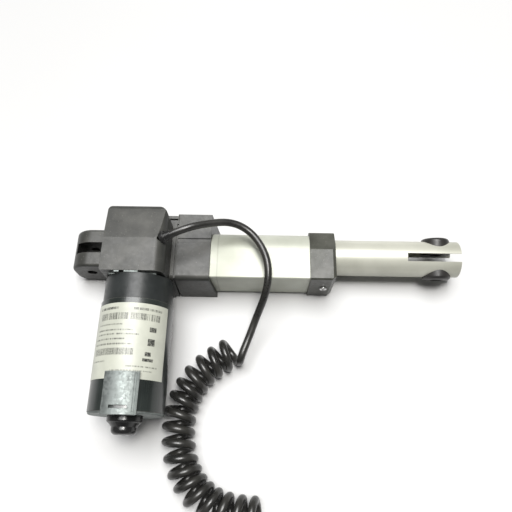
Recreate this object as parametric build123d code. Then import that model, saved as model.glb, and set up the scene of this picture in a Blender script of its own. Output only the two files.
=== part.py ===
from build123d import *
import math
import os

# Electric linear actuator, millimetres.
# Origin: centre of the rear pin bore. +X is the stroke direction, +Y points away from the motor,
# +Z is up. The push tube, screw and profile share the X axis. The motor's axis is parallel to Y.

# ---------------------------------------------------------------- driving dimensions
BASE_Z = -21.0          # plane of the table that the actuator lies on
RUN = 0.05              # radial clearance of a running fit

TUBE_R = 15.0           # push tube
TUBE_BORE_R = 13.0
TUBE_REAR_X = 143.0
TUBE_END_X = 306.0
FORK_PIN_X = 289.0
FORK_PIN_R = 5.0
FORK_TURN = 14.5        # degrees: the fork is turned about X from the rear clevis
FORK_SLOT_W = 6.7
FORK_SLOT_X = 262.0
FORK_BUSH_R = 11.5
FORK_BUSH_HALF = 17.4
FORK_BUSH_ROUND = 2.8

REAR_PIN_R = 4.0        # rear clevis
CLEVIS_R = 15.7
CLEVIS_HALF_W = 16.5
CLEVIS_SLOT_W = 9.0
CLEVIS_SLOT_X0, CLEVIS_SLOT_X = -11.5, 13.0

CASE_X0, CASE_X1 = 21.0, 69.0      # gear casing
CASE_Y0, CASE_Y1 = -31.0, 26.0
CASE_TOP_Z = 47.0
CASE_SLOPE_Y, CASE_SLOPE_DROP = -4.3, 3.5   # the roof falls towards the back from here
CASE_SIDE_R, CASE_BACK_R = 9.0, 5.0         # rounds along the right and back edges of the roof
CASE_WALL = 3.0
SPLIT_Z = 20.0
CASE_SCREWS = [(28.5, 19.4), (28.5, -23.5), (62.5, 18.0), (62.5, -24.5)]
CASE_SCREW_R, CASE_SCREW_HEAD_R, CASE_COLUMN_R = 1.75, 3.1, 4.0

MOTOR_X, MOTOR_Z = 47.0, 20.0      # motor axis
PLATE_T = 1.2
COLLAR_R = 26.4
COLLAR_FOOT_X0, COLLAR_FOOT_X1 = 27.0, 60.0
CAN_R = 27.4
CAN_BORE_R = 25.2
CAN_Y0, CAN_Y1 = -52.0, -131.0
END_PLATE_T = 1.6
BOSS_X = 46.5
CLIP_ANGLES = (-23.0, 27.0)     # of the steel clip, from +Z towards +X
MAGNET_R = 20.6
ARMATURE_R = 19.6
ARMATURE_Y0, ARMATURE_Y1 = -108.0, -68.0
ARMATURE_SLOTS = 10
COMMUTATOR_R = 9.0
COMMUTATOR_Y0, COMMUTATOR_Y1 = -61.5, -52.5
BRUSH_X = 15.5          # outer end of a brush, from the motor axis
SHAFT_R = 4.0
WORM_R = 4.2

WHEEL_X0, WHEEL_X1 = 40.0, 54.0    # worm wheel
WHEEL_TEETH = 29
WHEEL_TIP_R = 15.4
WHEEL_ROOT_R = 13.2

BEARING_X0, BEARING_X1 = 59.0, 67.0
BEARING_R = 14.0
SCREW_R = 6.5           # lead screw, at its mean thread radius
SCREW_END_X = 187.0
NUT_R = 15.7
NUT_X = 135.0
NUT_L = 16.0

PROFILE_R = 18.5        # aluminium profile: round at the back, square at the front
PROFILE_WALL = 2.5
PROFILE_FRONT_Y = -25.5
PROFILE_X0, PROFILE_X1 = 76.0, 199.0

ADAPTER_X0 = 69.0
ADAPTER_TOP_X, ADAPTER_FOOT_X = 100.5, 104.5
ADAPTER_TOP_Z = 20.5
ADAPTER_WING_Y = 29.5
ADAPTER_SOCKET_X = 75.5
ADAPTER_SCREWS = [(-17.0, -15.0), (-17.0, 15.0), (12.6, -15.5), (12.6, 15.5)]
ADAPTER_SCREW_R = 1.6

CAP_X0, CAP_X1 = 181.6, 202.5
CAP_TOP_Z = 21.5
CAP_FRONT_Y = -27.0
CAP_SCREW_X = 193.5

GROMMET_R, GROMMET_RING_R = 4.3, 5.3        # cord
GROMMET_START, GROMMET_RING_START, GROMMET_RING_END = -2.2, -1.0, 1.4
CORD_R = 3.0
CURL_R = 13.0
COIL_X, COIL_Y = 194.0, -250.0
COIL_IN_R, COIL_OUT_R = 26.9, 39.3
PLUG_Z = BASE_Z + 7.5
PLUG_Y = -249.0
PLUG_X0, PLUG_X1 = 276.0, 304.0

# The lead from the casing over the profile and down to the table, one point for each bend.
LEAD_POINTS = [
    (66.6, -3.0, 44.4),
    (82.0, 3.0, 48.5),
    (99.0, 10.5, 42.5),
    (119.0, 16.0, 35.0),
    (136.0, 8.0, 29.5),
    (148.0, -14.0, 29.5),
    (147.5, -37.0, 24.0),
    (139.0, -53.0, 5.0),
    (131.0, -66.5, -9.0),
    (122.0, -84.5, -11.0),
]
# Middle line of the curly stretch on the table.
CURL_POINTS = [
    (121.5, -79.0, BASE_Z + CURL_R),
    (107.5, -86.5, BASE_Z + CURL_R),
    (92.0, -100.5, BASE_Z + CURL_R),
    (82.3, -120.0, BASE_Z + CURL_R),
    (80.6, -144.0, BASE_Z + CURL_R),
    (86.0, -168.5, BASE_Z + CURL_R),
    (101.5, -188.0, BASE_Z + CURL_R),
    (126.0, -197.0, BASE_Z + CURL_R),
    (150.0, -196.8, BASE_Z + CURL_R),
]
# The straight tail from the curly stretch to the stored coil.
TAIL_POINTS = [
    (148.0, -196.8, BASE_Z + CORD_R),
    (170.5, -196.0, BASE_Z + CORD_R),
    (192.0, -205.0, BASE_Z + CORD_R),
    (210.8, -217.8, BASE_Z + CORD_R),
]
# The end that comes off the top of the coil and goes into the plug.
PLUG_LEAD_POINTS = [
    (219.0, -228.3, -12.5),
    (232.0, -242.0, -15.0),
    (250.0, -249.0, -14.5),
    (267.0, PLUG_Y, PLUG_Z),
]


# ---------------------------------------------------------------- helpers
def block(x0, x1, y0, y1, z0, z1):
    """A box from its corners."""
    middle = Pos((x0 + x1) / 2, (y0 + y1) / 2, (z0 + z1) / 2)
    return middle * Box(abs(x1 - x0), abs(y1 - y0), abs(z1 - z0))


def rod_x(r, x0, x1, y=0.0, z=0.0):
    """A cylinder along X."""
    return Pos((x0 + x1) / 2, y, z) * Rot(0, 90, 0) * Cylinder(r, abs(x1 - x0))


def rod_y(r, y0, y1, x=0.0, z=0.0):
    """A cylinder along Y."""
    return Pos(x, (y0 + y1) / 2, z) * Rot(90, 0, 0) * Cylinder(r, abs(y1 - y0))


def rod_z(r, z0, z1, x=0.0, y=0.0):
    """A cylinder along Z."""
    return Pos(x, y, (z0 + z1) / 2) * Cylinder(r, abs(z1 - z0))


def ring_x(r_out, r_in, x0, x1, y=0.0, z=0.0):
    """A tube along X."""
    return rod_x(r_out, x0, x1, y, z) - rod_x(r_in, x0 - 1, x1 + 1, y, z)


def ring_y(r_out, r_in, y0, y1, x=MOTOR_X, z=MOTOR_Z):
    """A tube along Y."""
    low, high = min(y0, y1), max(y0, y1)
    return rod_y(r_out, low, high, x, z) - rod_y(r_in, low - 1, high + 1, x, z)


def prism_x(points, x0, x1):
    """A straight-sided outline in the YZ plane, drawn along X."""
    outline = make_face(Polyline(*points, close=True))
    return extrude(Plane.YZ.offset(x0) * outline, amount=x1 - x0)


def prism_y(points, y0, y1):
    """A straight-sided outline in the XZ plane, drawn along Y."""
    outline = make_face(Polyline(*points, close=True))
    return extrude(Plane.XZ.offset(-y1) * outline, amount=y1 - y0)


def edges_along(shape, axis, *places, tol=0.2):
    """The straight edges along an axis whose middle matches each given place, None matching all."""
    chosen = ShapeList()
    for edge in shape.edges().filter_by(axis):
        middle = edge.center()
        for place in places:
            pairs = zip((middle.X, middle.Y, middle.Z), place)
            if all(want is None or abs(have - want) < tol for have, want in pairs):
                chosen.append(edge)
    return chosen


def save(name, shape):
    """Write one node."""
    export_step(shape, f"parts/{name}.step")


def cord_tube(name, points, radius):
    """A tube of straight runs joined by the largest arcs that its runs allow."""
    vectors = [Vector(*p) for p in points]
    radii = []
    for a, b, c in zip(vectors, vectors[1:], vectors[2:]):
        turn = math.radians((b - a).get_angle(c - b))
        shorter = min((b - a).length, (c - b).length)
        radii.append(0.45 * shorter / math.tan(turn / 2))
    print(name, "radii", [round(r) for r in radii])
    path = FilletPolyline(*points, radius=radii)
    section = Plane(origin=path @ 0, z_dir=path % 0) * Circle(radius)
    tube = sweep(section, path=path)
    expected = path.length * math.pi * radius ** 2
    print(name, "length", round(path.length, 1), "volume ratio", round(tube.volume / expected, 3))
    return tube


def along_lead(radius, start, end):
    """A cylinder on the line of the lead's first run, from where the lead leaves the casing."""
    first, second = Vector(*LEAD_POINTS[0]), Vector(*LEAD_POINTS[1])
    ahead = (second - first).normalized()
    return Plane(origin=first + ahead * ((start + end) / 2), z_dir=ahead) * Cylinder(radius, end - start)


# ---------------------------------------------------------------- rear clevis
def rear_clevis():
    """A moulded lug with a slot across its pin bore, a neck through the casing and a collar behind it."""
    foot_r = 12.0
    with BuildSketch() as outline:
        with BuildLine():
            Line((CASE_X0, CLEVIS_R), (0, CLEVIS_R))
            RadiusArc((0, CLEVIS_R), (-CLEVIS_R, 0), -CLEVIS_R)
            Line((-CLEVIS_R, 0), (-CLEVIS_R, BASE_Z + foot_r))
            RadiusArc((-CLEVIS_R, BASE_Z + foot_r), (foot_r - CLEVIS_R, BASE_Z), -foot_r)
            Line((foot_r - CLEVIS_R, BASE_Z), (CASE_X0, BASE_Z))
            Line((CASE_X0, BASE_Z), (CASE_X0, CLEVIS_R))
        make_face()
    lug = extrude(Plane.XZ.offset(-CLEVIS_HALF_W) * outline.sketch, amount=2 * CLEVIS_HALF_W)
    side_edges = [e for e in lug.edges() if abs(abs(e.center().Y) - CLEVIS_HALF_W) < 0.1]
    lug = fillet([e for e in side_edges if e.center().X < CASE_X0 - 1], 2.6)
    neck = block(CASE_X0, 24, -12, 12, -12, 12)
    collar = block(24, 28, -15, 15, -15, 15)
    slot = block(CLEVIS_SLOT_X0, CLEVIS_SLOT_X, -CLEVIS_SLOT_W / 2, CLEVIS_SLOT_W / 2, -40, 40)
    seat = rod_x(8, 22, 29)
    body = lug + neck + collar - slot - seat
    for y in (-10, 10):
        body -= block(CLEVIS_SLOT_X + 2.5, CASE_X0 - 2, y - 2.5, y + 2.5, -12, 40)
    return body - rod_y(REAR_PIN_R, -30, 30)


# ---------------------------------------------------------------- gear casing
def casing_block():
    """The casing's outer block, its back right corner widely rounded."""
    solid = block(CASE_X0, CASE_X1, CASE_Y0, CASE_Y1, BASE_Z, CASE_TOP_Z)
    return fillet(edges_along(solid, Axis.Z, (CASE_X1, CASE_Y1, None)), 12)


def casing():
    """The whole gear casing before it is split."""
    shell = fillet(edges_along(casing_block(), Axis.Z, (CASE_X0, CASE_Y1, None)), 5)
    shell = fillet(edges_along(shell, Axis.Z, (CASE_X0, CASE_Y0, None), (CASE_X1, CASE_Y0, None)), 1.5)
    back_z = CASE_TOP_Z - CASE_SLOPE_DROP
    slope = [
        (CASE_SLOPE_Y, CASE_TOP_Z),
        (CASE_Y1 + 1, back_z),
        (CASE_Y1 + 1, CASE_TOP_Z + 5),
        (CASE_SLOPE_Y, CASE_TOP_Z + 5),
    ]
    shell -= prism_x(slope, CASE_X0 - 1, CASE_X1 + 1)
    side_x, side_z = CASE_X1 - CASE_SIDE_R, CASE_TOP_Z - CASE_SIDE_R
    side_round = block(side_x, CASE_X1 + 1, CASE_Y0 - 1, CASE_Y1 + 1, side_z, CASE_TOP_Z + 1)
    side_round -= rod_y(CASE_SIDE_R, CASE_Y0 - 2, CASE_Y1 + 2, side_x, side_z)
    shell -= side_round
    round_y, round_z = CASE_Y1 - CASE_BACK_R, back_z - CASE_BACK_R
    back_round = block(CASE_X0 - 1, CASE_X1 + 1, round_y, CASE_Y1 + 1, round_z, CASE_TOP_Z + 1)
    back_round -= rod_x(CASE_BACK_R, CASE_X0 - 2, CASE_X1 + 2, round_y, round_z)
    shell -= back_round

    inner_x0, inner_x1, deep_x1 = CASE_X0 + CASE_WALL, CASE_X1 - CASE_WALL, 58
    inner_y0, inner_y1 = CASE_Y0 + CASE_WALL, CASE_Y1 - CASE_WALL
    inner_top = back_z - CASE_WALL
    shell -= block(inner_x0, deep_x1, inner_y0, inner_y1, BASE_Z + CASE_WALL, inner_top)
    shell -= block(deep_x1, inner_x1, inner_y0, inner_y1 - 6, SPLIT_Z, inner_top - 4)
    for x, y in CASE_SCREWS:
        shell += rod_z(CASE_COLUMN_R, BASE_Z + 1, inner_top + 0.5, x, y)
    for x, y in CASE_SCREWS:
        shell -= rod_z(CASE_SCREW_R, BASE_Z - 1, 35, x, y)
        shell -= rod_z(CASE_SCREW_HEAD_R + 0.3, BASE_Z - 1, BASE_Z + 2.4, x, y)

    shell -= block(CASE_X0 - 1, 24.5, -12, 12, -12, 12)
    shell -= rod_x(BEARING_R, BEARING_X0, CASE_X1 + 1)
    shell -= rod_x(9, 50, CASE_X1 + 1)
    shell -= rod_y(10, CASE_Y0 - 1, CASE_Y0 + CASE_WALL + 1, MOTOR_X, MOTOR_Z)
    shell += block(38, 56, 15, CASE_Y1 - CASE_WALL, 8, 32)
    shell -= rod_y(7, 14, 21, MOTOR_X, MOTOR_Z)
    shell -= along_lead(CORD_R + 0.3, -9.0, GROMMET_START)
    shell -= along_lead(GROMMET_R, GROMMET_START, 1.0)
    shell -= along_lead(GROMMET_RING_R, GROMMET_RING_START, 9.0)
    for y, z in ADAPTER_SCREWS:
        shell -= rod_x(ADAPTER_SCREW_R, CASE_X1 - 9, CASE_X1 + 1, y, z)
    return shell


def gearbox_housing(shell):
    """The casing below the motor's axis."""
    return shell & block(0, 100, -60, 60, BASE_Z - 1, SPLIT_Z)


def gearbox_cover(shell):
    """The casing above the motor's axis."""
    return shell & block(0, 100, -60, 60, SPLIT_Z, 60)


def cover_screws():
    """Pan-head screws, up through the housing into the cover."""
    screws = []
    for x, y in CASE_SCREWS:
        head = rod_z(CASE_SCREW_HEAD_R, BASE_Z + 0.3, BASE_Z + 2.4, x, y)
        head -= rod_z(1.2, BASE_Z, BASE_Z + 1.5, x, y)
        screws.append(head + rod_z(CASE_SCREW_R, BASE_Z + 2.4, 34, x, y))
    return Compound(screws)


# ---------------------------------------------------------------- motor
def motor_plate():
    """A thin steel plate between casing and collar, with two tabs that stand above the collar."""
    y0, y1 = CASE_Y0 - PLATE_T, CASE_Y0
    plate = block(27, 63, y0, y1, -17, 41)
    plate += block(40, 50.5, y0, y1, 40, 46.6)
    plate += block(32.5, 36.2, y0, y1, 40, 46.6)
    return plate - rod_y(10, y0 - 1, y1 + 1, MOTOR_X, MOTOR_Z)


def motor_collar():
    """The moulded collar that carries the can, round above and square below, down to the table."""
    y1 = CASE_Y0 - PLATE_T
    y0 = CAN_Y0
    outer = rod_y(COLLAR_R, y0, y1, MOTOR_X, MOTOR_Z)
    foot = block(COLLAR_FOOT_X0, COLLAR_FOOT_X1, y0, y1, BASE_Z, MOTOR_Z)
    foot = chamfer(edges_along(foot, Axis.Y, (None, None, BASE_Z)), 4)
    outer += foot
    outer += rod_y(CAN_BORE_R - 0.1, y0 - 6, y0, MOTOR_X, MOTOR_Z)
    outer -= rod_y(22, y0 - 10, y1 - 4, MOTOR_X, MOTOR_Z)
    outer -= rod_y(11, y0, y1 + 1, MOTOR_X, MOTOR_Z)
    return outer


def motor_can():
    """The drawn steel can."""
    return ring_y(CAN_R, CAN_BORE_R, CAN_Y0, CAN_Y1)


def motor_end_plate():
    """The pressed end plate with a spigot inside the can."""
    plate = rod_y(CAN_R - 0.5, CAN_Y1 - END_PLATE_T, CAN_Y1, MOTOR_X, MOTOR_Z)
    plate = chamfer(plate.edges().sort_by(Axis.Y)[0], 0.6)
    plate += rod_y(CAN_BORE_R, CAN_Y1, CAN_Y1 + 3, MOTOR_X, MOTOR_Z)
    return plate - rod_y(8, CAN_Y1 - 5, CAN_Y1 + 5, MOTOR_X, MOTOR_Z)


def motor_end_boss():
    """The black end boss: a wide step and a narrower domed one."""
    y = CAN_Y1 - END_PLATE_T
    boss = rod_y(12.7, y - 5, y, BOSS_X, MOTOR_Z)
    boss = fillet(boss.edges().sort_by(Axis.Y)[0], 1.6)
    step = rod_y(9.0, y - 13, y - 5, BOSS_X, MOTOR_Z)
    step = fillet(step.edges().sort_by(Axis.Y)[0], 3.4)
    step += Pos(BOSS_X, y - 6.5, MOTOR_Z) * Rot(90, 0, 0) * Cone(11.4, 8.8, 3)
    sleeve = rod_y(7.9, y, CAN_Y1 + 3, MOTOR_X, MOTOR_Z)
    seat = rod_y(6, y - 3, CAN_Y1 + 4, MOTOR_X, MOTOR_Z)
    return boss + step + sleeve - seat


def can_sector(r_in, r_out, y0, y1, angle_from, angle_to):
    """A curved sheet on the can; angles in degrees from +Z towards +X."""
    first, last = math.radians(angle_from), math.radians(angle_to)
    middle = (first + last) / 2

    def at(radius, angle):
        return (MOTOR_X + radius * math.sin(angle), MOTOR_Z + radius * math.cos(angle))

    with BuildSketch() as profile:
        with BuildLine():
            ThreePointArc(at(r_out, first), at(r_out, middle), at(r_out, last))
            Line(at(r_out, last), at(r_in, last))
            ThreePointArc(at(r_in, last), at(r_in, middle), at(r_in, first))
            Line(at(r_in, first), at(r_out, first))
        make_face()
    return extrude(Plane.XZ.offset(-y1) * profile.sketch, amount=y1 - y0)


def motor_label():
    """A plain wrap-round label."""
    return can_sector(CAN_R, CAN_R + 0.2, -110, -56, -104, 68)


def motor_clip():
    """A springy steel clip over the end of the can, its rim turned over the end plate."""
    r = CAN_R + 0.25
    low, high = CLIP_ANGLES
    outer_y, inner_y = CAN_Y1 - END_PLATE_T, -105.0
    strap = can_sector(r, r + 1.0, outer_y, inner_y, low, high)
    lip = can_sector(CAN_R - 5, r + 1.0, outer_y - 1.0, outer_y, low, high)
    side = can_sector(r + 1.0, r + 2.0, outer_y - 1.0, inner_y, high - 3.5, high)
    groove = can_sector(r + 0.5, r + 2.0, outer_y + 1, inner_y - 1, high - 6.5, high - 3.5)
    window = block(41.5, 54.0, -129.6, -127.6, 40, 60)
    return strap + lip + side - groove - window


def magnets():
    """Two arc magnets inside the can."""
    left = can_sector(MAGNET_R, CAN_BORE_R, -112, -64, -155, -25)
    right = can_sector(MAGNET_R, CAN_BORE_R, -112, -64, 25, 155)
    return Compound([left, right])


def armature_core():
    """The slotted stack of laminations."""
    y0, y1 = ARMATURE_Y0, ARMATURE_Y1
    core = rod_y(ARMATURE_R, y0, y1, MOTOR_X, MOTOR_Z) - rod_y(SHAFT_R, y0 - 1, y1 + 1, MOTOR_X, MOTOR_Z)
    for i in range(ARMATURE_SLOTS):
        turn = 360 / ARMATURE_SLOTS * i
        slot = Pos(13.5, 0, 0) * Box(7, y1 - y0 + 2, 4.4) + Pos(18, 0, 0) * Box(6, y1 - y0 + 2, 1.8)
        core -= Pos(MOTOR_X, (y0 + y1) / 2, MOTOR_Z) * Rot(0, turn, 0) * slot
    return core


def windings():
    """Enamelled wire: one bundle in each slot and a ring at each end."""
    y0, y1 = ARMATURE_Y0, ARMATURE_Y1
    ends = [ring_y(17.0, 9.0, y0 - 5, y0), ring_y(17.0, 9.0, y1, y1 + 5)]
    coil = ends[0] + ends[1]
    for i in range(ARMATURE_SLOTS):
        turn = 360 / ARMATURE_SLOTS * i
        bundle = Pos(13.5, 0, 0) * Box(6.8, y1 - y0 + 1, 4.2)
        coil += Pos(MOTOR_X, (y0 + y1) / 2, MOTOR_Z) * Rot(0, turn, 0) * bundle
    return coil


def commutator():
    """The copper drum that the brushes run on."""
    y0, y1 = COMMUTATOR_Y0, COMMUTATOR_Y1
    drum = ring_y(COMMUTATOR_R, SHAFT_R, y0, y1)
    for i in range(ARMATURE_SLOTS):
        turn = 360 / ARMATURE_SLOTS * (i + 0.5)
        cut = Pos(COMMUTATOR_R - 0.2, 0, 0) * Box(1.6, 20, 0.5)
        drum -= Pos(MOTOR_X, (y0 + y1) / 2, MOTOR_Z) * Rot(0, turn, 0) * cut
    return drum


def motor_shaft():
    """The motor shaft, with the worm at its inner end shown as its root cylinder."""
    shaft = rod_y(SHAFT_R, -134, 20.5, MOTOR_X, MOTOR_Z)
    shaft += rod_y(WORM_R, -14, 13, MOTOR_X, MOTOR_Z)
    shaft += rod_y(6, -29.5, -27.5, MOTOR_X, MOTOR_Z)
    return shaft


def brush_holder():
    """The moulded ring in the collar that carries the brushes."""
    plate = ring_y(21.9, 11, -59.0, -55.0)
    for side in (-1, 1):
        x = MOTOR_X + side * BRUSH_X
        plate += block(x - 5.9, x + 5.9, -61.5, -55, MOTOR_Z - 4, MOTOR_Z + 4)
        plate -= block(x - side * 7.5, x + side * 5.0, -60.5, -56, MOTOR_Z - 2.5, MOTOR_Z + 2.5)
    return plate - rod_y(COMMUTATOR_R + 0.6, -70, -50, MOTOR_X, MOTOR_Z)


def carbon_brushes():
    """Two carbon blocks, close to the commutator."""
    bites = rod_y(COMMUTATOR_R + 0.1, -70, -50, MOTOR_X, MOTOR_Z)
    brushes = []
    for side in (-1, 1):
        x = MOTOR_X + side * BRUSH_X
        brush = block(x - side * 7.0, x, -60.4, -56.1, MOTOR_Z - 2.4, MOTOR_Z + 2.4)
        brushes.append(brush - bites)
    return Compound(brushes)


def brush_springs():
    """The springs behind the brushes, as short hollow plugs."""
    springs = []
    for side in (-1, 1):
        x0 = MOTOR_X + side * BRUSH_X
        x1 = x0 + side * 4.9
        springs.append(ring_x(1.7, 1.0, min(x0, x1), max(x0, x1), -58.25, MOTOR_Z))
    return Compound(springs)


# ---------------------------------------------------------------- drive
def worm_wheel():
    """The wheel on the lead screw; its teeth are straight slots set at the worm's lead angle."""
    wheel = ring_x(WHEEL_TIP_R, 7.0, WHEEL_X0, WHEEL_X1)
    space_w = 1.7
    lead_angle = 4
    depth = WHEEL_TIP_R - WHEEL_ROOT_R
    cutter = Rot(0, 0, lead_angle) * Box(WHEEL_X1 - WHEEL_X0 + 4, space_w, depth + 1)
    gap = Pos(0, 0, WHEEL_TIP_R - depth / 2 + 0.5) * cutter
    middle = (WHEEL_X0 + WHEEL_X1) / 2
    for i in range(WHEEL_TEETH):
        wheel -= Pos(middle, 0, 0) * Rot(360 / WHEEL_TEETH * i, 0, 0) * gap
    recess = ring_x(11.5, 9.0, WHEEL_X1 - 2, WHEEL_X1 + 1)
    return wheel - recess


def lead_screw():
    """The screw: rear journal, wheel seat, shoulder, bearing seat and threaded length."""
    screw = rod_x(5, 22.5, 36)
    screw += rod_x(7, 36, WHEEL_X1)
    screw += rod_x(8.2, WHEEL_X1, BEARING_X0)
    screw += rod_x(6, BEARING_X0, BEARING_X1)
    screw += rod_x(SCREW_R, BEARING_X1, SCREW_END_X)
    return screw


def spindle_stop():
    """The washer on the end of the screw that the nut can't pass."""
    return ring_x(10.5, SCREW_R, SCREW_END_X - 2.5, SCREW_END_X)


def spindle_nut():
    """The nut: a flange that runs in the profile and a spigot that carries the push tube."""
    nut = rod_x(NUT_R, NUT_X, TUBE_REAR_X - 0.2)
    nut = chamfer(nut.edges().sort_by(Axis.X)[0], 1)
    nut += rod_x(TUBE_BORE_R - RUN, TUBE_REAR_X - 0.2, NUT_X + NUT_L)
    nut -= rod_x(SCREW_R + RUN, NUT_X - 1, NUT_X + NUT_L + 1)
    return nut


def bearing_balls():
    """Eight balls between the races."""
    count = 8
    balls = []
    middle = (BEARING_X0 + BEARING_X1) / 2
    for i in range(count):
        angle = 2 * math.pi * i / count
        balls.append(Pos(middle, 10 * math.cos(angle), 10 * math.sin(angle)) * Sphere(1.4))
    return Compound(balls)


# ---------------------------------------------------------------- adapter and profile
def profile_outline(radius, front_y, corner):
    """Round at the back, square at the front."""
    with BuildSketch() as outline:
        with BuildLine():
            RadiusArc((0, radius), (0, -radius), radius)
            Line((0, -radius), (front_y, -radius))
            Line((front_y, -radius), (front_y, radius))
            Line((front_y, radius), (0, radius))
        make_face()
        if corner:
            corners = outline.vertices().group_by(Axis.X)[0]
            fillet(corners, corner)
    return outline.sketch


def outer_profile():
    """The extruded aluminium profile, with two inner rails for the switch board."""
    length = PROFILE_X1 - PROFILE_X0
    plane = Plane.YZ.offset(PROFILE_X0)
    body = extrude(plane * profile_outline(PROFILE_R, PROFILE_FRONT_Y, 1.2), amount=length)
    hollow_r = PROFILE_R - PROFILE_WALL
    body -= extrude(plane * profile_outline(hollow_r, PROFILE_FRONT_Y + PROFILE_WALL, 0), amount=length)
    for side in (-1, 1):
        z0, z1 = sorted((side * 12.2, side * (hollow_r + 0.5)))
        body += block(PROFILE_X0, PROFILE_X1, -19.4, -18.2, z0, z1)
    for y0, y1 in ((CAP_FRONT_Y, CAP_FRONT_Y + 6), (PROFILE_R - 4, PROFILE_R + 4)):
        body -= rod_y(1.5, y0, y1, CAP_SCREW_X, 0)
    return body


def profile_adapter():
    """The black neck: a flange on the casing, a socket round the profile and a wing at the back."""
    side = prism_y(
        [
            (ADAPTER_X0, BASE_Z),
            (ADAPTER_X0, ADAPTER_TOP_Z),
            (ADAPTER_TOP_X, ADAPTER_TOP_Z),
            (ADAPTER_FOOT_X, BASE_Z),
        ],
        -40,
        40,
    )
    section = prism_x(
        [
            (-30.0, BASE_Z),
            (-28.2, ADAPTER_TOP_Z),
            (ADAPTER_WING_Y, ADAPTER_TOP_Z),
            (ADAPTER_WING_Y, BASE_Z),
        ],
        ADAPTER_X0,
        ADAPTER_FOOT_X,
    )
    body = side & section
    body = fillet(edges_along(body, Axis.X, (None, ADAPTER_WING_Y, ADAPTER_TOP_Z)), 1.6)
    front_edge = [e for e in body.edges() if e.center().Y < -28 and e.center().Z > ADAPTER_TOP_Z - 0.1]
    body = fillet(front_edge, 4.5)
    flange_x = ADAPTER_X0 + 3.0
    groove_x = flange_x + 1.2
    body -= block(flange_x, groove_x, -40, 20, ADAPTER_TOP_Z - 1.2, 40)
    body -= block(flange_x, groove_x, -40, -26.8, -40, 40)
    body -= block(groove_x, 120, 3.4, 7.6, ADAPTER_TOP_Z - 1.7, 40)
    body -= block(groove_x, 120, 7.6, 40, ADAPTER_TOP_Z - 0.8, 40)
    web_y, strap_y0, strap_y1 = 23.4, CASE_Y1, CASE_Y1 + 2.6
    strap_z0, strap_z1 = 13.5, 18.0
    gap_x1 = 72.5
    body -= block(ADAPTER_X0 - 1, gap_x1, web_y, 40, BASE_Z - 1, 40)
    body += block(60, ADAPTER_X0, 12, web_y, BASE_Z, ADAPTER_TOP_Z) - casing_block()
    body += block(56.5, gap_x1 + 1, strap_y0, strap_y1, strap_z0, strap_z1)
    socket_plane = Plane.YZ.offset(ADAPTER_SOCKET_X)
    body -= extrude(socket_plane * profile_outline(PROFILE_R, PROFILE_FRONT_Y, 1.2), amount=60)
    body -= rod_x(16.2, ADAPTER_X0 + 3, 120)
    body -= rod_x(9, ADAPTER_X0 - 1, ADAPTER_X0 + 10)
    pocket_x0, pocket_x1 = ADAPTER_X0 + 9, ADAPTER_TOP_X - 4
    body -= block(pocket_x0, pocket_x1, 21.5, ADAPTER_WING_Y - 2.2, BASE_Z - 1, ADAPTER_TOP_Z - 3)
    for y, z in ADAPTER_SCREWS:
        body -= rod_x(ADAPTER_SCREW_R, ADAPTER_X0 - 1, ADAPTER_X0 + 10, y, z)
        body -= rod_x(3.6, ADAPTER_X0 + 3, ADAPTER_SOCKET_X + 0.1, y, z)
    return body


def adapter_screws():
    """Screws that hold the adapter on the casing."""
    screws = []
    for y, z in ADAPTER_SCREWS:
        head = rod_x(3.4, ADAPTER_X0 + 3, ADAPTER_X0 + 5.4, y, z)
        head -= rod_x(1.2, ADAPTER_X0 + 4, ADAPTER_X0 + 6, y, z)
        screws.append(head + rod_x(ADAPTER_SCREW_R, ADAPTER_X0 - 8, ADAPTER_X0 + 3, y, z))
    return Compound(screws)


def end_cap():
    """The faceted cap that closes the profile."""
    back = [(-1.0, CAP_TOP_Z), (17.0, 13.3), (19.9, 6.3)]
    outline = [(CAP_FRONT_Y, BASE_Z + 1.2), (CAP_FRONT_Y, CAP_TOP_Z - 1.2), (CAP_FRONT_Y + 1.2, CAP_TOP_Z)]
    outline += back
    outline += [(y, -z) for y, z in reversed(back[1:])]
    outline += [(-1.0, BASE_Z), (CAP_FRONT_Y + 1.2, BASE_Z)]
    cap = prism_x(outline, CAP_X0, CAP_X1)
    nose = 3.6
    for y, sign in ((CAP_FRONT_Y, -1), (19.9, 1)):
        wedge = make_face(Polyline(
            (CAP_X1 - nose, y + sign * 0.01),
            (CAP_X1 + 0.1, y - sign * nose),
            (CAP_X1 + 0.1, y + sign * 0.01),
            close=True,
        ))
        cap -= extrude(Plane.XY.offset(-40) * wedge, amount=80)
    top_nose = 2.6
    top_wedge = [
        (CAP_X1 - top_nose, CAP_TOP_Z + 0.01),
        (CAP_X1 + 0.1, CAP_TOP_Z - top_nose),
        (CAP_X1 + 0.1, CAP_TOP_Z + 0.01),
    ]
    cap -= prism_y(top_wedge, -40, 40)
    plane = Plane.YZ.offset(CAP_X0 - 1)
    cap -= extrude(plane * profile_outline(PROFILE_R, PROFILE_FRONT_Y, 1.2), amount=PROFILE_X1 - CAP_X0 + 1)
    cap -= rod_x(TUBE_R + 0.4, CAP_X0, CAP_X1 + 1)
    cap -= rod_x(16.8, PROFILE_X1 - 1, CAP_X1 - 1.0)
    for y0, y1 in ((CAP_FRONT_Y - 1, CAP_FRONT_Y + 6), (15.0, 25.0)):
        cap -= rod_y(1.5, y0, y1, CAP_SCREW_X, 0)
    return cap


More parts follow.
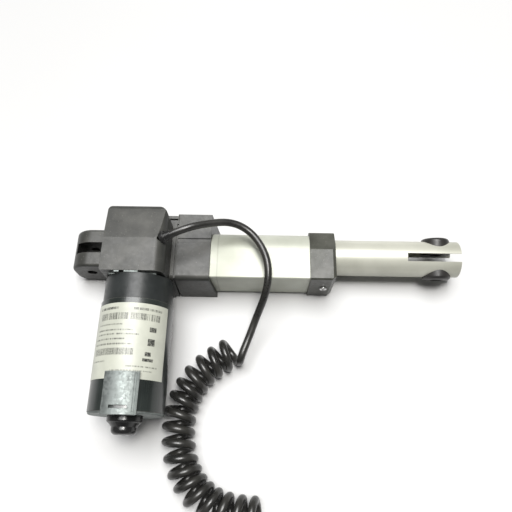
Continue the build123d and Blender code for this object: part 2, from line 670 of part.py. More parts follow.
def end_cap_screws():
    """Two pan-head screws through the cap into the profile."""
    screws = []
    for y, sign in ((CAP_FRONT_Y, -1), (19.9, 1)):
        head_y = y + sign * 1.5
        head = rod_y(2.9, min(y, head_y), max(y, head_y), CAP_SCREW_X, 0)
        head = fillet([e for e in head.edges() if abs(e.center().Y - head_y) < 0.05], 0.7)
        low, high = sorted((y, y - sign * 3.7))
        cross = Pos(CAP_SCREW_X, head_y, 0) * (Box(3.6, 1.2, 0.8) + Box(0.8, 1.2, 3.6))
        screws.append(head + rod_y(1.5, low, high, CAP_SCREW_X, 0) - cross)
    return Compound(screws)


def limit_switches():
    """Two small switches on the board, one near each end of the travel."""
    switches = []
    for x in (88.0, 176.0):
        body = block(x - 6, x + 6, -20, -16.9, -6, 6)
        lever = block(x - 1, x + 1, -16.9, -16.4, -2, 2)
        switches.append(body + lever)
    return Compound(switches)


# ---------------------------------------------------------------- push tube
def turn_fork(shape):
    """Turn a fork feature about the tube's axis."""
    return Rot(FORK_TURN, 0, 0) * shape


def push_tube():
    """The round length of the push tube, up to its fork."""
    return ring_x(TUBE_R, TUBE_BORE_R, TUBE_REAR_X, FORK_SLOT_X)


def fork_prongs():
    """The two prongs that the slot leaves of the tube's free end, as they meet the round length."""
    end = ring_x(TUBE_R, TUBE_BORE_R, FORK_SLOT_X, TUBE_END_X)
    slot = block(FORK_SLOT_X - 5, TUBE_END_X + 5, -FORK_SLOT_W / 2, FORK_SLOT_W / 2, -30, 30)
    bore = rod_y(FORK_BUSH_R, -30, 30, FORK_PIN_X, 0)
    return end - turn_fork(slot) - turn_fork(bore)


def fork_bushes():
    """Two plastic bushes that fill the cross holes, domed outside, with the pin bore through them."""
    bushes = []
    inner = FORK_SLOT_W / 2
    for side in (-1, 1):
        low, high = sorted((side * inner, side * FORK_BUSH_HALF))
        bush = rod_y(FORK_BUSH_R, low, high, FORK_PIN_X, 0)
        rim = [e for e in bush.edges() if abs(abs(e.center().Y) - FORK_BUSH_HALF) < 0.1]
        bush = fillet(rim, FORK_BUSH_ROUND)
        bush -= rod_y(FORK_PIN_R, -30, 30, FORK_PIN_X, 0)
        bushes.append(turn_fork(bush))
    return Compound(bushes)


# ---------------------------------------------------------------- cord and plug
def cable_grommet(lead):
    """The ring and the short tapered sleeve where the cord leaves the casing; the cord fills its hole."""
    grommet = along_lead(GROMMET_R, GROMMET_START, GROMMET_RING_START)
    ring = along_lead(GROMMET_RING_R, GROMMET_RING_START, GROMMET_RING_END)
    grommet += fillet(ring.edges().filter_by(GeomType.CIRCLE), 0.6)
    first, second = Vector(*LEAD_POINTS[0]), Vector(*LEAD_POINTS[1])
    ahead = (second - first).normalized()
    sleeve_l = 5.0
    sleeve_plane = Plane(origin=first + ahead * (GROMMET_RING_END + sleeve_l / 2), z_dir=ahead)
    return grommet + sleeve_plane * Cone(GROMMET_R - 0.3, CORD_R + 0.6, sleeve_l) - lead


def cord_coil():
    """The outer shape of the stored turns of cord, which lie side by side with the last on top."""
    section = make_face(Polyline(
        (COIL_IN_R, BASE_Z),
        (COIL_OUT_R, BASE_Z),
        (COIL_OUT_R, BASE_Z + 5.5),
        (COIL_OUT_R - 3, BASE_Z + 11.6),
        (COIL_IN_R + 3, BASE_Z + 11.6),
        (COIL_IN_R, BASE_Z + 5.5),
        close=True,
    ))
    ring = revolve(Plane.XZ * section, axis=Axis.Z)
    return Pos(COIL_X, COIL_Y, 0) * ring


def plug_boot(lead):
    """The bend relief behind the plug, over the end of the cord."""
    boot = Pos(PLUG_X0 - 7, PLUG_Y, PLUG_Z) * Rot(0, 90, 0) * Cone(CORD_R + 0.8, 5.4, 14)
    return boot - lead


def plug_body():
    """The moulded grip of the plug."""
    body = rod_x(7.5, PLUG_X0, PLUG_X0 + 17, PLUG_Y, PLUG_Z)
    body = fillet(body.edges(), 1.0)
    return body


def plug_shell():
    """The metal sleeve round the pins."""
    return ring_x(6.6, 6.0, PLUG_X0 + 17, PLUG_X1, PLUG_Y, PLUG_Z)


def plug_pins():
    """Five pins on the upper half of a circle."""
    pins = []
    for i in range(5):
        angle = math.radians(45 * i)
        y = PLUG_Y + 3.5 * math.cos(angle)
        z = PLUG_Z + 3.5 * math.sin(angle)
        pins.append(rod_x(0.7, PLUG_X0 + 17, PLUG_X1 - 2, y, z))
    return Compound(pins)


# ---------------------------------------------------------------- write the nodes
os.makedirs("parts", exist_ok=True)

shell = casing()
case_lower = gearbox_housing(shell)
case_upper = gearbox_cover(shell)

save("rear_clevis", rear_clevis())
save("gearbox_housing", case_lower)
save("gearbox_cover", case_upper)
save("cover_screws", cover_screws())
save("motor_plate", motor_plate())
save("motor_collar", motor_collar())
save("motor_can", motor_can())
save("motor_end_plate", motor_end_plate())
save("motor_end_boss", motor_end_boss())
save("motor_label", motor_label())
save("motor_clip", motor_clip())
save("magnets", magnets())
save("brush_holder", brush_holder())
save("carbon_brushes", carbon_brushes())
save("brush_springs", brush_springs())
save("motor_front_bearing", ring_y(11, SHAFT_R + RUN, -37, CASE_Y0 - PLATE_T))
save("motor_rear_bush", ring_y(6, SHAFT_R + RUN, -133.5, -129))
save("worm_end_bush", ring_y(7, SHAFT_R + RUN, 14.5, 20.9))

save("motor_shaft", motor_shaft())
save("armature_core", armature_core())
save("windings", windings())
save("commutator", commutator())

save("lead_screw", lead_screw())
save("worm_wheel", worm_wheel())
save("bearing_inner_race", ring_x(8.5, 6.0, BEARING_X0, BEARING_X1))
save("bearing_balls", bearing_balls())
save("spindle_stop", spindle_stop())
save("bearing_outer_race", ring_x(BEARING_R, 11.5, BEARING_X0, BEARING_X1))
save("bearing_retainer", ring_x(BEARING_R, 11.0, BEARING_X1, CASE_X1))
save("rear_spindle_bush", ring_x(8.0, 5.0 + RUN, 22, 28))

save("spindle_nut", spindle_nut())
save("push_tube", push_tube())
save("fork_prongs", fork_prongs())
save("fork_bushes", fork_bushes())

save("profile_adapter", profile_adapter())
save("adapter_screws", adapter_screws())
save("outer_profile", outer_profile())
save("end_cap", end_cap())
save("end_cap_screws", end_cap_screws())
save("guide_bush", ring_x(PROFILE_R - PROFILE_WALL, TUBE_R + RUN, 184, PROFILE_X1))
save("wiper_seal", ring_x(16.7, TUBE_R + RUN, PROFILE_X1, CAP_X1 - 1.2))
save("switch_board", block(80, 182, -21.4, -20, -11, 11))
save("limit_switches", limit_switches())

lead = cord_tube("cord_lead", LEAD_POINTS, CORD_R)
curl = cord_tube("cord_curl", CURL_POINTS, CURL_R)
tail = cord_tube("cord_tail", TAIL_POINTS, CORD_R)
coil = cord_coil()
last_lead = cord_tube("plug_lead", PLUG_LEAD_POINTS, CORD_R)
save("cable_grommet", cable_grommet(lead))
save("cord_lead", lead - curl)
save("cord_curl", curl)
save("cord_tail", tail - curl - coil)
save("cord_coil", coil)
save("plug_lead", last_lead - coil)
save("plug_boot", plug_boot(last_lead))
save("plug_body", plug_body())
save("plug_shell", plug_shell())
save("plug_pins", plug_pins())
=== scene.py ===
import math

import bpy
import bmesh
from mathutils import Matrix, Vector


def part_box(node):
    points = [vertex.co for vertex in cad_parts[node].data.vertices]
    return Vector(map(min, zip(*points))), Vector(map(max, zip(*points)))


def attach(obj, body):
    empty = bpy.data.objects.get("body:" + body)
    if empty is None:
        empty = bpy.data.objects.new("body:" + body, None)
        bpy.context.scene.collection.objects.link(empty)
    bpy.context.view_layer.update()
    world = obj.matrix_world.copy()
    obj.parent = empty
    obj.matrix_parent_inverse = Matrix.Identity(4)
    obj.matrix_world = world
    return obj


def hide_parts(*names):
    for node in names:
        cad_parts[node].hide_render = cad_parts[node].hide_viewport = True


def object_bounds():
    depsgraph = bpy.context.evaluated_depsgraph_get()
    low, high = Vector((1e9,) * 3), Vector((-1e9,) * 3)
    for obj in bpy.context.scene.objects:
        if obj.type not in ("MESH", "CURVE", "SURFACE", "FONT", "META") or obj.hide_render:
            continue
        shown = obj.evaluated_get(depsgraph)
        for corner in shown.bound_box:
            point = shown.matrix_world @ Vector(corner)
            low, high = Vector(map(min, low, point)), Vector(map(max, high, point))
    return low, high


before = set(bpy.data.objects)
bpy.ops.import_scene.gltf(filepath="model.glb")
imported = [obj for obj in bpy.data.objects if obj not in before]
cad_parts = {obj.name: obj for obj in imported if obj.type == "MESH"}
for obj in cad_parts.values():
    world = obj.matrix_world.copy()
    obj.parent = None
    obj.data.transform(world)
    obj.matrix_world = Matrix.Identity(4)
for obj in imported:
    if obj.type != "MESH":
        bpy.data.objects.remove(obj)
cad_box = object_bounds()

MM = 0.001
TABLE_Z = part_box("cord_coil")[0].z

# ---------------------------------------------------------------- camera
SENSOR_WIDTH = 36.0         # millimetres
FOCAL_LENGTH = 35.16        # millimetres
CAMERA_PLACE = (0.1442, -0.1583, 0.3948)
CAMERA_TURN = (21.94, 0.91, 0.91)    # degrees about X, Y and Z

camera = bpy.data.objects.new("camera", bpy.data.cameras.new("camera"))
bpy.context.collection.objects.link(camera)
camera.data.sensor_width = SENSOR_WIDTH
camera.data.lens = FOCAL_LENGTH
camera.data.clip_start = 0.01
camera.location = CAMERA_PLACE
camera.rotation_euler = (
    Matrix.Rotation(math.radians(CAMERA_TURN[0]), 3, "X")
    @ Matrix.Rotation(math.radians(CAMERA_TURN[1]), 3, "Y")
    @ Matrix.Rotation(math.radians(CAMERA_TURN[2]), 3, "Z")
).to_euler()
bpy.context.scene.camera = camera
bpy.context.scene.view_settings.view_transform = "Standard"

# ---------------------------------------------------------------- the cord's route
CORD_D = 6.0 * MM
CURL_R = 10.0 * MM          # radius of the curl's helix, at the cord's middle
CURL_TURNS = 18
CURL_HAND = -1              # left-handed
POINTS_PER_TURN = 16
CURL_CUT = 12               # points left off the helix's end, where the tail takes over
SLOW_WAVE = (0.005, 2.3)    # the pitch's unevenness: share of the length, and waves along the curl
QUICK_WAVE = (0.002, 5.7)
CURL_Z = TABLE_Z + 13.0 * MM
COIL_CENTRE = Vector((0.194, -0.250, 0.0))
COIL_STEP = 15              # degrees between the coil's points

# From the casing over the profile and down to the table.
LEAD_POINTS = [
    (0.0666, -0.0030, 0.0444),
    (0.0820, 0.0030, 0.0485),
    (0.0990, 0.0105, 0.0425),
    (0.1190, 0.0160, 0.0350),
    (0.1360, 0.0080, 0.0295),
    (0.1480, -0.0140, 0.0295),
    (0.1475, -0.0370, 0.0240),
    (0.1390, -0.0540, 0.0060),
    (0.1335, -0.0690, 0.0010),
    (0.1291, -0.0803, 0.0003),
    (0.1278, -0.0845, -0.0006),
    (0.1267, -0.0876, -0.0034),
]
# Middle line of the curly stretch.
CURL_POINTS = [
    (0.1215, -0.0790, CURL_Z),
    (0.1075, -0.0865, CURL_Z),
    (0.0920, -0.1005, CURL_Z),
    (0.0823, -0.1200, CURL_Z),
    (0.0806, -0.1440, CURL_Z),
    (0.0860, -0.1685, CURL_Z),
    (0.1015, -0.1880, CURL_Z),
    (0.1260, -0.1970, CURL_Z),
    (0.1500, -0.1968, CURL_Z),
]
# From the curly stretch to the stored coil.
TAIL_POINTS = [
    (0.1435, -0.2014, -0.0180),
    (0.1470, -0.2048, -0.0180),
    (0.1516, -0.2060, -0.0180),
    (0.1600, -0.2055, -0.0180),
    (0.1750, -0.2025, -0.0180),
    (0.1920, -0.2050, -0.0180),
]
# From the top of the coil into the plug.
PLUG_POINTS = [
    (0.2320, -0.2420, -0.0150),
    (0.2500, -0.2490, -0.0145),
    (0.2670, -0.2490, -0.0135),
]
# The stored coil: degrees clockwise from +Y, radius and height of the cord's middle, in millimetres.
COIL_STAGES = [
    (28, 36.2, -18.0),
    (297, 36.2, -18.0),
    (388, 30.0, -18.0),
    (560, 30.0, -18.0),
    (652, 33.1, -12.2),
    (768, 33.1, -12.0),
]


def nurbs(name, points, bevel=0.0):
    """An open spline with these control points."""
    curve = bpy.data.curves.new(name, "CURVE")
    curve.dimensions = "3D"
    curve.resolution_u = 6
    curve.bevel_depth = bevel
    curve.bevel_resolution = 6
    curve.use_fill_caps = True
    spline = curve.splines.new("NURBS")
    spline.points.add(len(points) - 1)
    for point, place in zip(spline.points, points):
        point.co = (*place, 1.0)
    spline.order_u = 3
    spline.use_endpoint_u = True
    made = bpy.data.objects.new(name, curve)
    bpy.context.collection.objects.link(made)
    return made


def along(points, distance):
    """The place and direction at a distance along a line of points."""
    left = distance
    for a, b in zip(points, points[1:]):
        step = (b - a).length
        if left <= step:
            return a.lerp(b, left / step), (b - a).normalized()
        left -= step
    return points[-1], (points[-1] - points[-2]).normalized()


def line_of(points):
    """Close points along the smooth line that a route's control points give."""
    route = nurbs("route", points)
    mesh = bpy.data.meshes.new_from_object(route)
    line = [v.co.copy() for v in mesh.vertices]
    bpy.data.meshes.remove(mesh)
    bpy.data.objects.remove(route)
    return line


def curl_turns():
    """The helix round the curl's middle line, from its inner side; its pitch varies a little."""
    line = line_of(CURL_POINTS)
    length = sum((b - a).length for a, b in zip(line, line[1:]))
    count = CURL_TURNS * POINTS_PER_TURN
    turns = []
    for i in range(count + 1):
        part = i / count
        uneven = sum(size * math.sin(2 * math.pi * waves * part) for size, waves in (SLOW_WAVE, QUICK_WAVE))
        middle, ahead = along(line, length * (part + uneven * math.sin(math.pi * part)))
        side = Vector((0, 0, 1)).cross(ahead)
        angle = 2 * math.pi * i / POINTS_PER_TURN * CURL_HAND
        turns.append(middle + CURL_R * (math.cos(angle) * side + math.sin(angle) * Vector((0, 0, 1))))
    return turns


def coil_turns():
    """The stored coil, clockwise seen from above."""
    turns = []
    for angle in range(COIL_STAGES[0][0], COIL_STAGES[-1][0] + 1, COIL_STEP):
        for (a0, r0, z0), (a1, r1, z1) in zip(COIL_STAGES, COIL_STAGES[1:]):
            if a0 <= angle <= a1:
                part = (angle - a0) / (a1 - a0)
                part = part * part * (3 - 2 * part)
                radius = (r0 + (r1 - r0) * part) * MM
                height = (z0 + (z1 - z0) * part) * MM
        turn = math.radians(angle)
        place = COIL_CENTRE + Vector((math.sin(turn) * radius, math.cos(turn) * radius, height))
        turns.append(place)
    return turns


cord_points = [*LEAD_POINTS, *curl_turns()[:-CURL_CUT], *TAIL_POINTS, *coil_turns(), *PLUG_POINTS]
cord = nurbs("cord", cord_points, CORD_D / 2)


# ---------------------------------------------------------------- materials
class Look:
    """A procedural material. Its textures read coordinates of the part's own frame, in metres."""

    def __init__(self, name, roughness=0.5, metallic=0.0, **sockets):
        self.material = bpy.data.materials.new(name)
        self.material.use_nodes = True
        self.tree = self.material.node_tree
        self.shader = self.tree.nodes["Principled BSDF"]
        self.shader.inputs["Roughness"].default_value = roughness
        self.shader.inputs["Metallic"].default_value = metallic
        for socket, value in sockets.items():
            self.shader.inputs[socket.replace("_", " ")].default_value = value
        self.place = self.add("ShaderNodeTexCoord").outputs["Object"]

    def add(self, kind, inputs=None, **settings):
        """A node; an input is a value, or another node's output to link."""
        node = self.tree.nodes.new(kind)
        for key, value in settings.items():
            setattr(node, key, value)
        for key, value in (inputs or {}).items():
            if isinstance(value, bpy.types.NodeSocket):
                self.tree.links.new(value, node.inputs[key])
            else:
                node.inputs[key].default_value = value
        return node

    def stretched(self, stretch):
        """The coordinates, scaled along each axis."""
        return self.add("ShaderNodeMapping", {"Vector": self.place, "Scale": stretch}).outputs["Vector"]

    def noise(self, scale, detail=3.0, stretch=(1, 1, 1)):
        place = self.stretched(stretch)
        made = self.add("ShaderNodeTexNoise", {"Vector": place, "Scale": scale, "Detail": detail})
        return made.outputs["Fac"]

    def cells(self, scale):
        return self.add("ShaderNodeTexVoronoi", {"Vector": self.place, "Scale": scale}).outputs

    def spread(self, value, low, high, to_low=0.0, to_high=1.0):
        """A value's range low..high, mapped to another range and clamped."""
        names = {"Value": value, "From Min": low, "From Max": high, "To Min": to_low, "To Max": to_high}
        return self.add("ShaderNodeMapRange", names).outputs["Result"]

    def maths(self, operation, a, b=0.0):
        return self.add("ShaderNodeMath", {0: a, 1: b}, operation=operation).outputs[0]

    def mix(self, factor, a, b):
        """A colour between a and b."""
        node = self.add("ShaderNodeMix", {"Factor": factor}, data_type="RGBA")
        for socket, value in ((node.inputs[6], a), (node.inputs[7], b)):
            if isinstance(value, bpy.types.NodeSocket):
                self.tree.links.new(value, socket)
            else:
                socket.default_value = (*value, 1.0)
        return node.outputs[2]

    def rounded(self, radius):
        """The surface's direction, as if its edges were rounded."""
        return self.add("ShaderNodeBevel", {"Radius": radius}, samples=4).outputs["Normal"]

    def edges(self, radius):
        """1 close to an edge and 0 away from it."""
        straight = self.add("ShaderNodeNewGeometry").outputs["Normal"]
        directions = {0: self.rounded(radius), 1: straight}
        node = self.add("ShaderNodeVectorMath", directions, operation="DOT_PRODUCT")
        return self.spread(node.outputs["Value"], 0.995, 0.8)

    def facing_up(self):
        """1 where the surface faces up and 0 where it is upright."""
        straight = self.add("ShaderNodeNewGeometry").outputs["Normal"]
        height = self.add("ShaderNodeSeparateXYZ", {0: straight}).outputs["Z"]
        return self.spread(height, 0.55, 0.95)

    def bump(self, height, depth, normal=None):
        """Relief of that depth in metres, on top of a normal."""
        inputs = {"Height": height, "Distance": depth, "Strength": 1.0}
        if normal is not None:
            inputs["Normal"] = normal
        return self.add("ShaderNodeBump", inputs).outputs["Normal"]

    def finish(self, color, roughness=None, normal=None):
        """Links what varies over the surface to the shader."""
        links = {"Base Color": color, "Roughness": roughness, "Normal": normal}
        for socket, value in links.items():
            if value is not None:
                self.tree.links.new(value, self.shader.inputs[socket])
        return self.material


def moulded(name, dark, light, roughness, grain=0.00003, top_sheen=0.0, edge_radius=0.0005, **sockets):
    """Moulded plastic: spark-eroded grain, slow flow marks, rubbed edges and a painted sheen that lightens
    the upward faces in specks and cloudy patches.
    """
    look = Look(name, **sockets)
    clouds = look.noise(45, 4)
    fine = look.noise(2600, 2)
    color = look.mix(look.spread(clouds, 0.35, 0.65), dark, light)
    rubbed = tuple(min(1.0, c * 2.2 + 0.02) for c in light)
    edge = look.edges(edge_radius * 1.4)
    worn = look.maths("MULTIPLY", edge, look.spread(look.noise(300, 3), 0.35, 0.6, 0.25, 0.8))
    color = look.mix(worn, color, rubbed)
    # Painted sheen: upward faces are mixed towards a pale grey in specks and cloudy patches, standing in for
    # light falling on the tops.
    if top_sheen:
        specks = look.spread(look.noise(900, 5), 0.62, 0.74)
        sheen_patches = look.spread(look.noise(70, 4), 0.4, 0.75, 0.12, 0.45)
        sheen_amount = look.maths("MULTIPLY", look.facing_up(), look.maths("MAXIMUM", specks, sheen_patches))
        # The pale grey below is the painted sheen's colour.
        color = look.mix(look.maths("MULTIPLY", sheen_amount, top_sheen), color, (0.33, 0.32, 0.29))
    patchy = look.maths("ADD", clouds, look.noise(350, 3))
    rough = look.spread(patchy, 0.7, 1.3, roughness - 0.07, roughness + 0.1)
    normal = look.bump(look.noise(160, 2), 0.00004, look.rounded(edge_radius))
    normal = look.bump(fine, grain, normal)
    return look.finish(color, rough, normal)


def aluminium(name, dark, light, roughness, metallic, line_depth=0.000004, score=None, edge_radius=None):
    """Drawn aluminium: die lines along X, faint stains and small pits."""
    look = Look(name, metallic=metallic)
    lines = look.noise(60, 3, (0.25, 45, 45))
    stains = look.noise(28, 5)
    color = look.mix(look.spread(stains, 0.35, 0.68), light, dark)
    streaks = look.spread(lines, 0.3, 0.7, 0.0, 0.22)
    color = look.mix(streaks, color, dark)
    specks = look.spread(look.cells(420)["Distance"], 0.02, 0.09, 0.3, 0.0)
    color = look.mix(specks, color, tuple(c * 0.45 for c in dark))
    if score:
        along_x = look.add("ShaderNodeSeparateXYZ", {0: look.place}).outputs["X"]
        far = look.maths("ABSOLUTE", look.maths("SUBTRACT", along_x, score))
        color = look.mix(look.spread(far, 0.0002, 0.0007, 0.4, 0.0), color, tuple(c * 0.5 for c in dark))
    rough = look.spread(look.maths("ADD", lines, stains), 0.6, 1.4, roughness - 0.06, roughness + 0.1)
    normal = look.bump(lines, line_depth, look.rounded(edge_radius) if edge_radius else None)
    normal = look.bump(look.noise(1500, 2), 0.000006, normal)
    return look.finish(color, rough, normal)


def plated(name, dark, light, roughness, spangle=380, depth=0.00002):
    """Zinc-plated or galvanised sheet: crystal spangle, scratches and dull spots."""
    look = Look(name, metallic=0.9)
    crystals = look.cells(spangle)["Color"]
    shade = look.add("ShaderNodeSeparateColor", {0: crystals}).outputs[0]
    clouds = look.noise(160, 5)
    color = look.mix(look.spread(shade, 0.1, 0.9, 0.25, 0.75), dark, light)
    color = look.mix(look.spread(clouds, 0.5, 0.72, 0.0, 0.45), color, tuple(c * 0.7 for c in dark))
    scratches = look.spread(look.noise(800, 2, (1, 0.04, 1)), 0.62, 0.7)
    color = look.mix(look.maths("MULTIPLY", scratches, 0.5), color, light)
    rough = look.spread(look.maths("ADD", shade, clouds), 0.4, 1.6, roughness - 0.1, roughness + 0.14)
    normal = look.bump(look.noise(260, 3), depth, look.rounded(0.0003))
    return look.finish(color, rough, normal)


def machined(name, dark, light, roughness, metallic=1.0, rings=(1, 1, 1), ring_scale=900):
    """Turned or ground metal: fine tool marks and slight tarnish."""
    look = Look(name, metallic=metallic)
    marks = look.noise(ring_scale, 2, rings)
    tarnish = look.noise(120, 5)
    color = look.mix(look.spread(tarnish, 0.35, 0.7), light, dark)
    color = look.mix(look.spread(marks, 0.4, 0.7, 0.0, 0.35), color, dark)
    rough = look.spread(marks, 0.3, 0.7, roughness - 0.06, roughness + 0.1)
    normal = look.bump(marks, 0.000008, look.rounded(0.0003))
    return look.finish(color, rough, normal)


def painted_can():
    """Black stove enamel on drawn steel: orange peel, draw lines along the can and rubbed edges."""
    look = Look("can_enamel", Coat_Weight=0.35, Coat_Roughness=0.16)
    clouds = look.noise(30, 4)
    lines = look.noise(70, 3, (30, 0.3, 30))
    color = look.mix(look.spread(clouds, 0.35, 0.65), (0.010, 0.013, 0.012), (0.018, 0.023, 0.021))
    color = look.mix(look.spread(lines, 0.5, 0.75, 0.0, 0.35), color, (0.038, 0.048, 0.044))
    color = look.mix(look.maths("MULTIPLY", look.edges(0.0006), 0.5), color, (0.22, 0.2, 0.17))
    rough = look.spread(look.maths("ADD", lines, clouds), 0.6, 1.4, 0.24, 0.4)
    normal = look.bump(look.noise(420, 2), 0.00001, look.rounded(0.0004))
    return look.finish(color, rough, normal)


def sheath():
    """The cord's PVC sheath: a smooth gloss with handling marks and slight waviness."""
    look = Look("cord_sheath", Specular_IOR_Level=0.6)
    clouds = look.noise(60, 4)
    color = look.mix(look.spread(clouds, 0.35, 0.7), (0.014, 0.014, 0.013), (0.030, 0.029, 0.026))
    color = look.mix(look.spread(look.noise(1200, 4), 0.66, 0.78, 0.0, 0.35), color, (0.16, 0.15, 0.13))
    rough = look.spread(look.maths("ADD", clouds, look.noise(500, 3)), 0.7, 1.3, 0.24, 0.38)
    normal = look.bump(look.noise(140, 2), 0.00005)
    normal = look.bump(look.noise(1800, 2), 0.000008, normal)
    return look.finish(color, rough, normal)


# ---------------------------------------------------------------- label
def label_look():
    """Cream foil: faint rows of grey dashes and two bands of plain strokes, with no writing."""
    look = Look("label_foil", Coat_Weight=0.2, Coat_Roughness=0.3)
    low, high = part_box("motor_label")
    axis_x = (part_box("motor_can")[0].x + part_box("motor_can")[1].x) / 2
    axis_z = (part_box("motor_can")[0].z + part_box("motor_can")[1].z) / 2
    parts = look.add("ShaderNodeSeparateXYZ", {0: look.place})
    across = look.maths("SUBTRACT", parts.outputs["X"], axis_x)
    up = look.maths("SUBTRACT", parts.outputs["Z"], axis_z)
    angle = look.maths("ARCTAN2", across, up)
    lengthways = look.maths("SUBTRACT", high.y, parts.outputs["Y"])

    def band(value, start, end):
        """1 where a value lies between start and end."""
        above = look.maths("GREATER_THAN", value, start)
        below = look.maths("LESS_THAN", value, end)
        return look.maths("MULTIPLY", above, below)

    def dashes(row, thickness, start, end, seed, tone):
        """A row of short grey dashes at that distance down the label."""
        place = look.add("ShaderNodeCombineXYZ", {"X": look.maths("MULTIPLY", angle, 30.0), "Y": seed})
        broken = look.add("ShaderNodeTexNoise", {"Vector": place.outputs[0], "Scale": 2.2, "Detail": 2.0})
        ink = look.spread(broken.outputs["Fac"], 0.43, 0.49, 0.0, min(1.0, tone * 1.35))
        here = look.maths("MULTIPLY", band(lengthways, row, row + thickness), band(angle, start, end))
        return look.maths("MULTIPLY", ink, here)

    def strokes(row, height, start, end, seed):
        """A band of plain upright strokes of mixed width."""
        place = look.add("ShaderNodeCombineXYZ", {"X": look.maths("MULTIPLY", angle, 34.0), "Y": seed})
        mixed = look.add("ShaderNodeTexNoise", {"Vector": place.outputs[0], "Scale": 3.4, "Detail": 1.0})
        ink = look.spread(mixed.outputs["Fac"], 0.46, 0.5, 0.0, 0.85)
        here = look.maths("MULTIPLY", band(lengthways, row, row + height), band(angle, start, end))
        return look.maths("MULTIPLY", ink, here)

    def block(row, height, start, end):
        """A plain dark rectangle."""
        return look.maths("MULTIPLY", band(lengthways, row, row + height), band(angle, start, end))

    # Distance down the label and height in metres, start and end angle in radians, then seed and tone.
    marks = [
        dashes(0.0030, 0.0018, -0.95, -0.25, 3.0, 0.75),
        dashes(0.0034, 0.0018, 0.15, 0.95, 7.0, 0.6),
        strokes(0.0075, 0.0050, -0.85, 0.9, 11.0),
        dashes(0.0155, 0.0010, -0.9, -0.1, 15.0, 0.5),
        dashes(0.0195, 0.0011, -0.9, 0.2, 19.0, 0.6),
        dashes(0.0225, 0.0011, -0.9, 0.35, 23.0, 0.6),
        dashes(0.0260, 0.0011, -1.0, 0.0, 27.0, 0.6),
        dashes(0.0295, 0.0012, -1.0, 0.2, 31.0, 0.65),
        strokes(0.0330, 0.0048, -0.95, 0.25, 35.0),
        dashes(0.0415, 0.0010, -1.0, -0.5, 39.0, 0.5),
        dashes(0.0450, 0.0010, 0.1, 0.95, 43.0, 0.55),
        dashes(0.0480, 0.0008, -0.3, 0.8, 47.0, 0.5),
        block(0.0170, 0.0035, 0.62, 0.82),
        block(0.0255, 0.0050, 0.60, 0.80),
        block(0.0350, 0.0030, 0.55, 0.72),
        block(0.0395, 0.0022, 0.50, 0.80),
    ]
    ink = marks[0]
    for mark in marks[1:]:
        ink = look.maths("MAXIMUM", ink, mark)
    worn = look.noise(900, 4)
    ink = look.maths("MULTIPLY", ink, look.spread(worn, 0.35, 0.6, 0.55, 1.0))
    paper = look.mix(look.spread(look.noise(80, 4), 0.35, 0.7), (0.49, 0.50, 0.43), (0.42, 0.43, 0.37))
    color = look.mix(ink, paper, (0.012, 0.012, 0.011))
    rough = look.spread(look.noise(200, 3), 0.3, 0.7, 0.38, 0.52)
    normal = look.bump(look.noise(150, 3), 0.00003, look.rounded(0.0001))
    return look.finish(color, rough, normal)


# ---------------------------------------------------------------- give the nodes their looks
# The casing and end cap plastics get a painted sheen on their upward faces, at the strength given after
# their roughness.
black = moulded("casing_plastic", (0.022, 0.023, 0.021), (0.034, 0.035, 0.032), 0.38, top_sheen=0.4,
                Specular_IOR_Level=0.36)
black_smooth = moulded("collar_plastic", (0.014, 0.016, 0.016), (0.024, 0.027, 0.027), 0.34, grain=0.000012,
                       Specular_IOR_Level=0.35)
cap_black = moulded("cap_plastic", (0.026, 0.027, 0.021), (0.042, 0.044, 0.035), 0.34, top_sheen=0.5,
                    Specular_IOR_Level=0.4)
boss_black = moulded("boss_plastic", (0.010, 0.010, 0.010), (0.02, 0.02, 0.02), 0.24, grain=0.00001)
bush_plastic = moulded("bush_plastic", (0.016, 0.015, 0.014), (0.03, 0.028, 0.026), 0.4, grain=0.00002)
acetal = moulded("acetal", (0.70, 0.69, 0.64), (0.80, 0.79, 0.75), 0.4, grain=0.00001)
board_green = moulded("board_lacquer", (0.02, 0.12, 0.04), (0.03, 0.18, 0.06), 0.35, grain=0.000008)
rubber = moulded("seal_rubber", (0.012, 0.012, 0.012), (0.022, 0.022, 0.022), 0.6, grain=0.00004)
profile_metal = aluminium("profile_metal", (0.36, 0.37, 0.31), (0.49, 0.505, 0.44), 0.42, 0.15, score=0.1065,
                          edge_radius=0.0004)
tube_metal = aluminium("tube_metal", (0.40, 0.40, 0.34), (0.54, 0.54, 0.47), 0.36, 0.25)
galvanised = plated("galvanised", (0.16, 0.178, 0.172), (0.27, 0.292, 0.284), 0.55, spangle=700)
zinc = plated("zinc", (0.5, 0.5, 0.5), (0.78, 0.78, 0.77), 0.3, spangle=1500, depth=0.000008)
steel = machined("ground_steel", (0.36, 0.36, 0.37), (0.6, 0.6, 0.61), 0.28)
bronze = machined("sintered_bronze", (0.42, 0.27, 0.12), (0.62, 0.42, 0.2), 0.45)
copper = machined("copper", (0.55, 0.22, 0.1), (0.8, 0.38, 0.2), 0.32, rings=(1, 30, 1), ring_scale=60)
nickel = machined("nickel", (0.6, 0.58, 0.54), (0.8, 0.78, 0.74), 0.18)
gold = machined("contact_gold", (0.7, 0.5, 0.2), (0.9, 0.7, 0.35), 0.22)
ferrite = machined("ferrite", (0.05, 0.05, 0.05), (0.09, 0.09, 0.09), 0.6, metallic=0.0)
carbon = machined("carbon", (0.02, 0.02, 0.02), (0.05, 0.05, 0.05), 0.5, metallic=0.0)
can_enamel = painted_can()
cord_sheath = sheath()
foil = label_look()

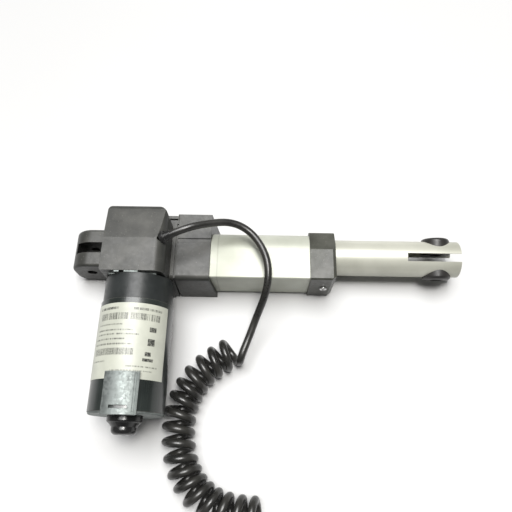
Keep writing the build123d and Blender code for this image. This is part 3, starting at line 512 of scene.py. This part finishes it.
LOOKS = {
    "rear_clevis": black, "gearbox_housing": black, "gearbox_cover": black, "profile_adapter": black,
    "motor_collar": black_smooth, "end_cap": cap_black, "motor_end_boss": boss_black,
    "brush_holder": black_smooth, "limit_switches": black_smooth, "cable_grommet": boss_black,
    "plug_boot": boss_black, "plug_body": boss_black, "fork_bushes": bush_plastic,
    "outer_profile": profile_metal, "push_tube": tube_metal, "fork_prongs": tube_metal,
    "motor_clip": galvanised, "motor_plate": galvanised, "motor_end_plate": galvanised,
    "cover_screws": zinc, "adapter_screws": zinc, "end_cap_screws": zinc, "brush_springs": zinc,
    "spindle_stop": zinc, "motor_can": can_enamel, "motor_label": foil,
    "magnets": ferrite, "carbon_brushes": carbon, "motor_front_bearing": steel,
    "motor_rear_bush": bronze, "worm_end_bush": bronze, "rear_spindle_bush": bronze,
    "bearing_outer_race": steel, "bearing_inner_race": steel, "bearing_balls": steel,
    "bearing_retainer": steel, "guide_bush": acetal, "wiper_seal": rubber, "switch_board": board_green,
    "plug_shell": nickel, "plug_pins": gold, "motor_shaft": steel, "armature_core": steel,
    "windings": copper, "commutator": copper, "lead_screw": steel, "worm_wheel": acetal,
    "spindle_nut": acetal,
}
for name, look in LOOKS.items():
    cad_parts[name].material_slots[0].material = look

cord.data.materials.append(cord_sheath)
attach(cord, "root")
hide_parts("cord_lead", "cord_curl", "cord_tail", "cord_coil", "plug_lead")


# ---------------------------------------------------------------- table, light and air
TABLE_SIZE = 60.0           # half its side
TABLE_DROP = 0.0001         # keeps the table clear of what lies on it
AIR_STRENGTH = 0.12
BACKDROP = (0.93, 0.93, 0.93, 1.0)
BROAD_LIGHT_FROM = (-0.1, 0.4, 1.6)
BROAD_LIGHT_SPREAD = 42.0   # degrees
BROAD_LIGHT_STRENGTH = 4.0
LAMP_OFFSET = Vector((0.15, 0.1, 1.3))
LAMP_SIZE = 0.34
LAMP_POWER = 8.0
LAMP_COLOR = (1.0, 0.98, 0.93)


def table_top():
    """A plain pale table."""
    mesh = bpy.data.meshes.new("table")
    work = bmesh.new()
    bmesh.ops.create_grid(work, x_segments=1, y_segments=1, size=TABLE_SIZE)
    work.to_mesh(mesh)
    work.free()
    table = bpy.data.objects.new("table", mesh)
    table.location.z = TABLE_Z - TABLE_DROP
    bpy.context.collection.objects.link(table)
    look = Look("table_white", roughness=0.6)
    color = look.mix(look.spread(look.noise(2, 2), 0.3, 0.7), (0.56, 0.56, 0.56), (0.58, 0.58, 0.58))
    mesh.materials.append(look.finish(color))


def area_light(name, place, target, size, power, color):
    """A round lamp aimed at a place."""
    light = bpy.data.lights.new(name, "AREA")
    light.shape = "DISK"
    light.size = size
    light.energy = power
    light.color = color
    made = bpy.data.objects.new(name, light)
    made.location = place
    made.rotation_euler = (Vector(target) - Vector(place)).to_track_quat("-Z", "Y").to_euler()
    bpy.context.collection.objects.link(made)


def broad_light(name, place, target, spread, strength):
    """Even light from one side of the sky, as from a very large soft box."""
    light = bpy.data.lights.new(name, "SUN")
    light.energy = strength
    light.angle = math.radians(spread)
    made = bpy.data.objects.new(name, light)
    made.rotation_euler = (Vector(target) - Vector(place)).to_track_quat("-Z", "Y").to_euler()
    bpy.context.collection.objects.link(made)


def studio():
    """Pale air, broad light from overhead and a small lamp that gives the highlights."""
    world = bpy.context.scene.world or bpy.data.worlds.new("air")
    bpy.context.scene.world = world
    world.use_nodes = True
    nodes, links = world.node_tree.nodes, world.node_tree.links
    glow = nodes["Background"]
    glow.inputs["Color"].default_value = (1.0, 1.0, 1.0, 1.0)
    glow.inputs["Strength"].default_value = AIR_STRENGTH
    backdrop = nodes.new("ShaderNodeBackground")
    backdrop.inputs["Color"].default_value = BACKDROP
    chosen = nodes.new("ShaderNodeMixShader")
    links.new(nodes.new("ShaderNodeLightPath").outputs["Is Camera Ray"], chosen.inputs[0])
    links.new(glow.outputs[0], chosen.inputs[1])
    links.new(backdrop.outputs[0], chosen.inputs[2])
    links.new(chosen.outputs[0], nodes["World Output"].inputs["Surface"])
    middle = (cad_box[0] + cad_box[1]) / 2
    broad_light("broad_light", BROAD_LIGHT_FROM, (0.0, 0.0, 0.0), BROAD_LIGHT_SPREAD, BROAD_LIGHT_STRENGTH)
    area_light("small_lamp", middle + LAMP_OFFSET, middle, LAMP_SIZE, LAMP_POWER, LAMP_COLOR)


table_top()
studio()
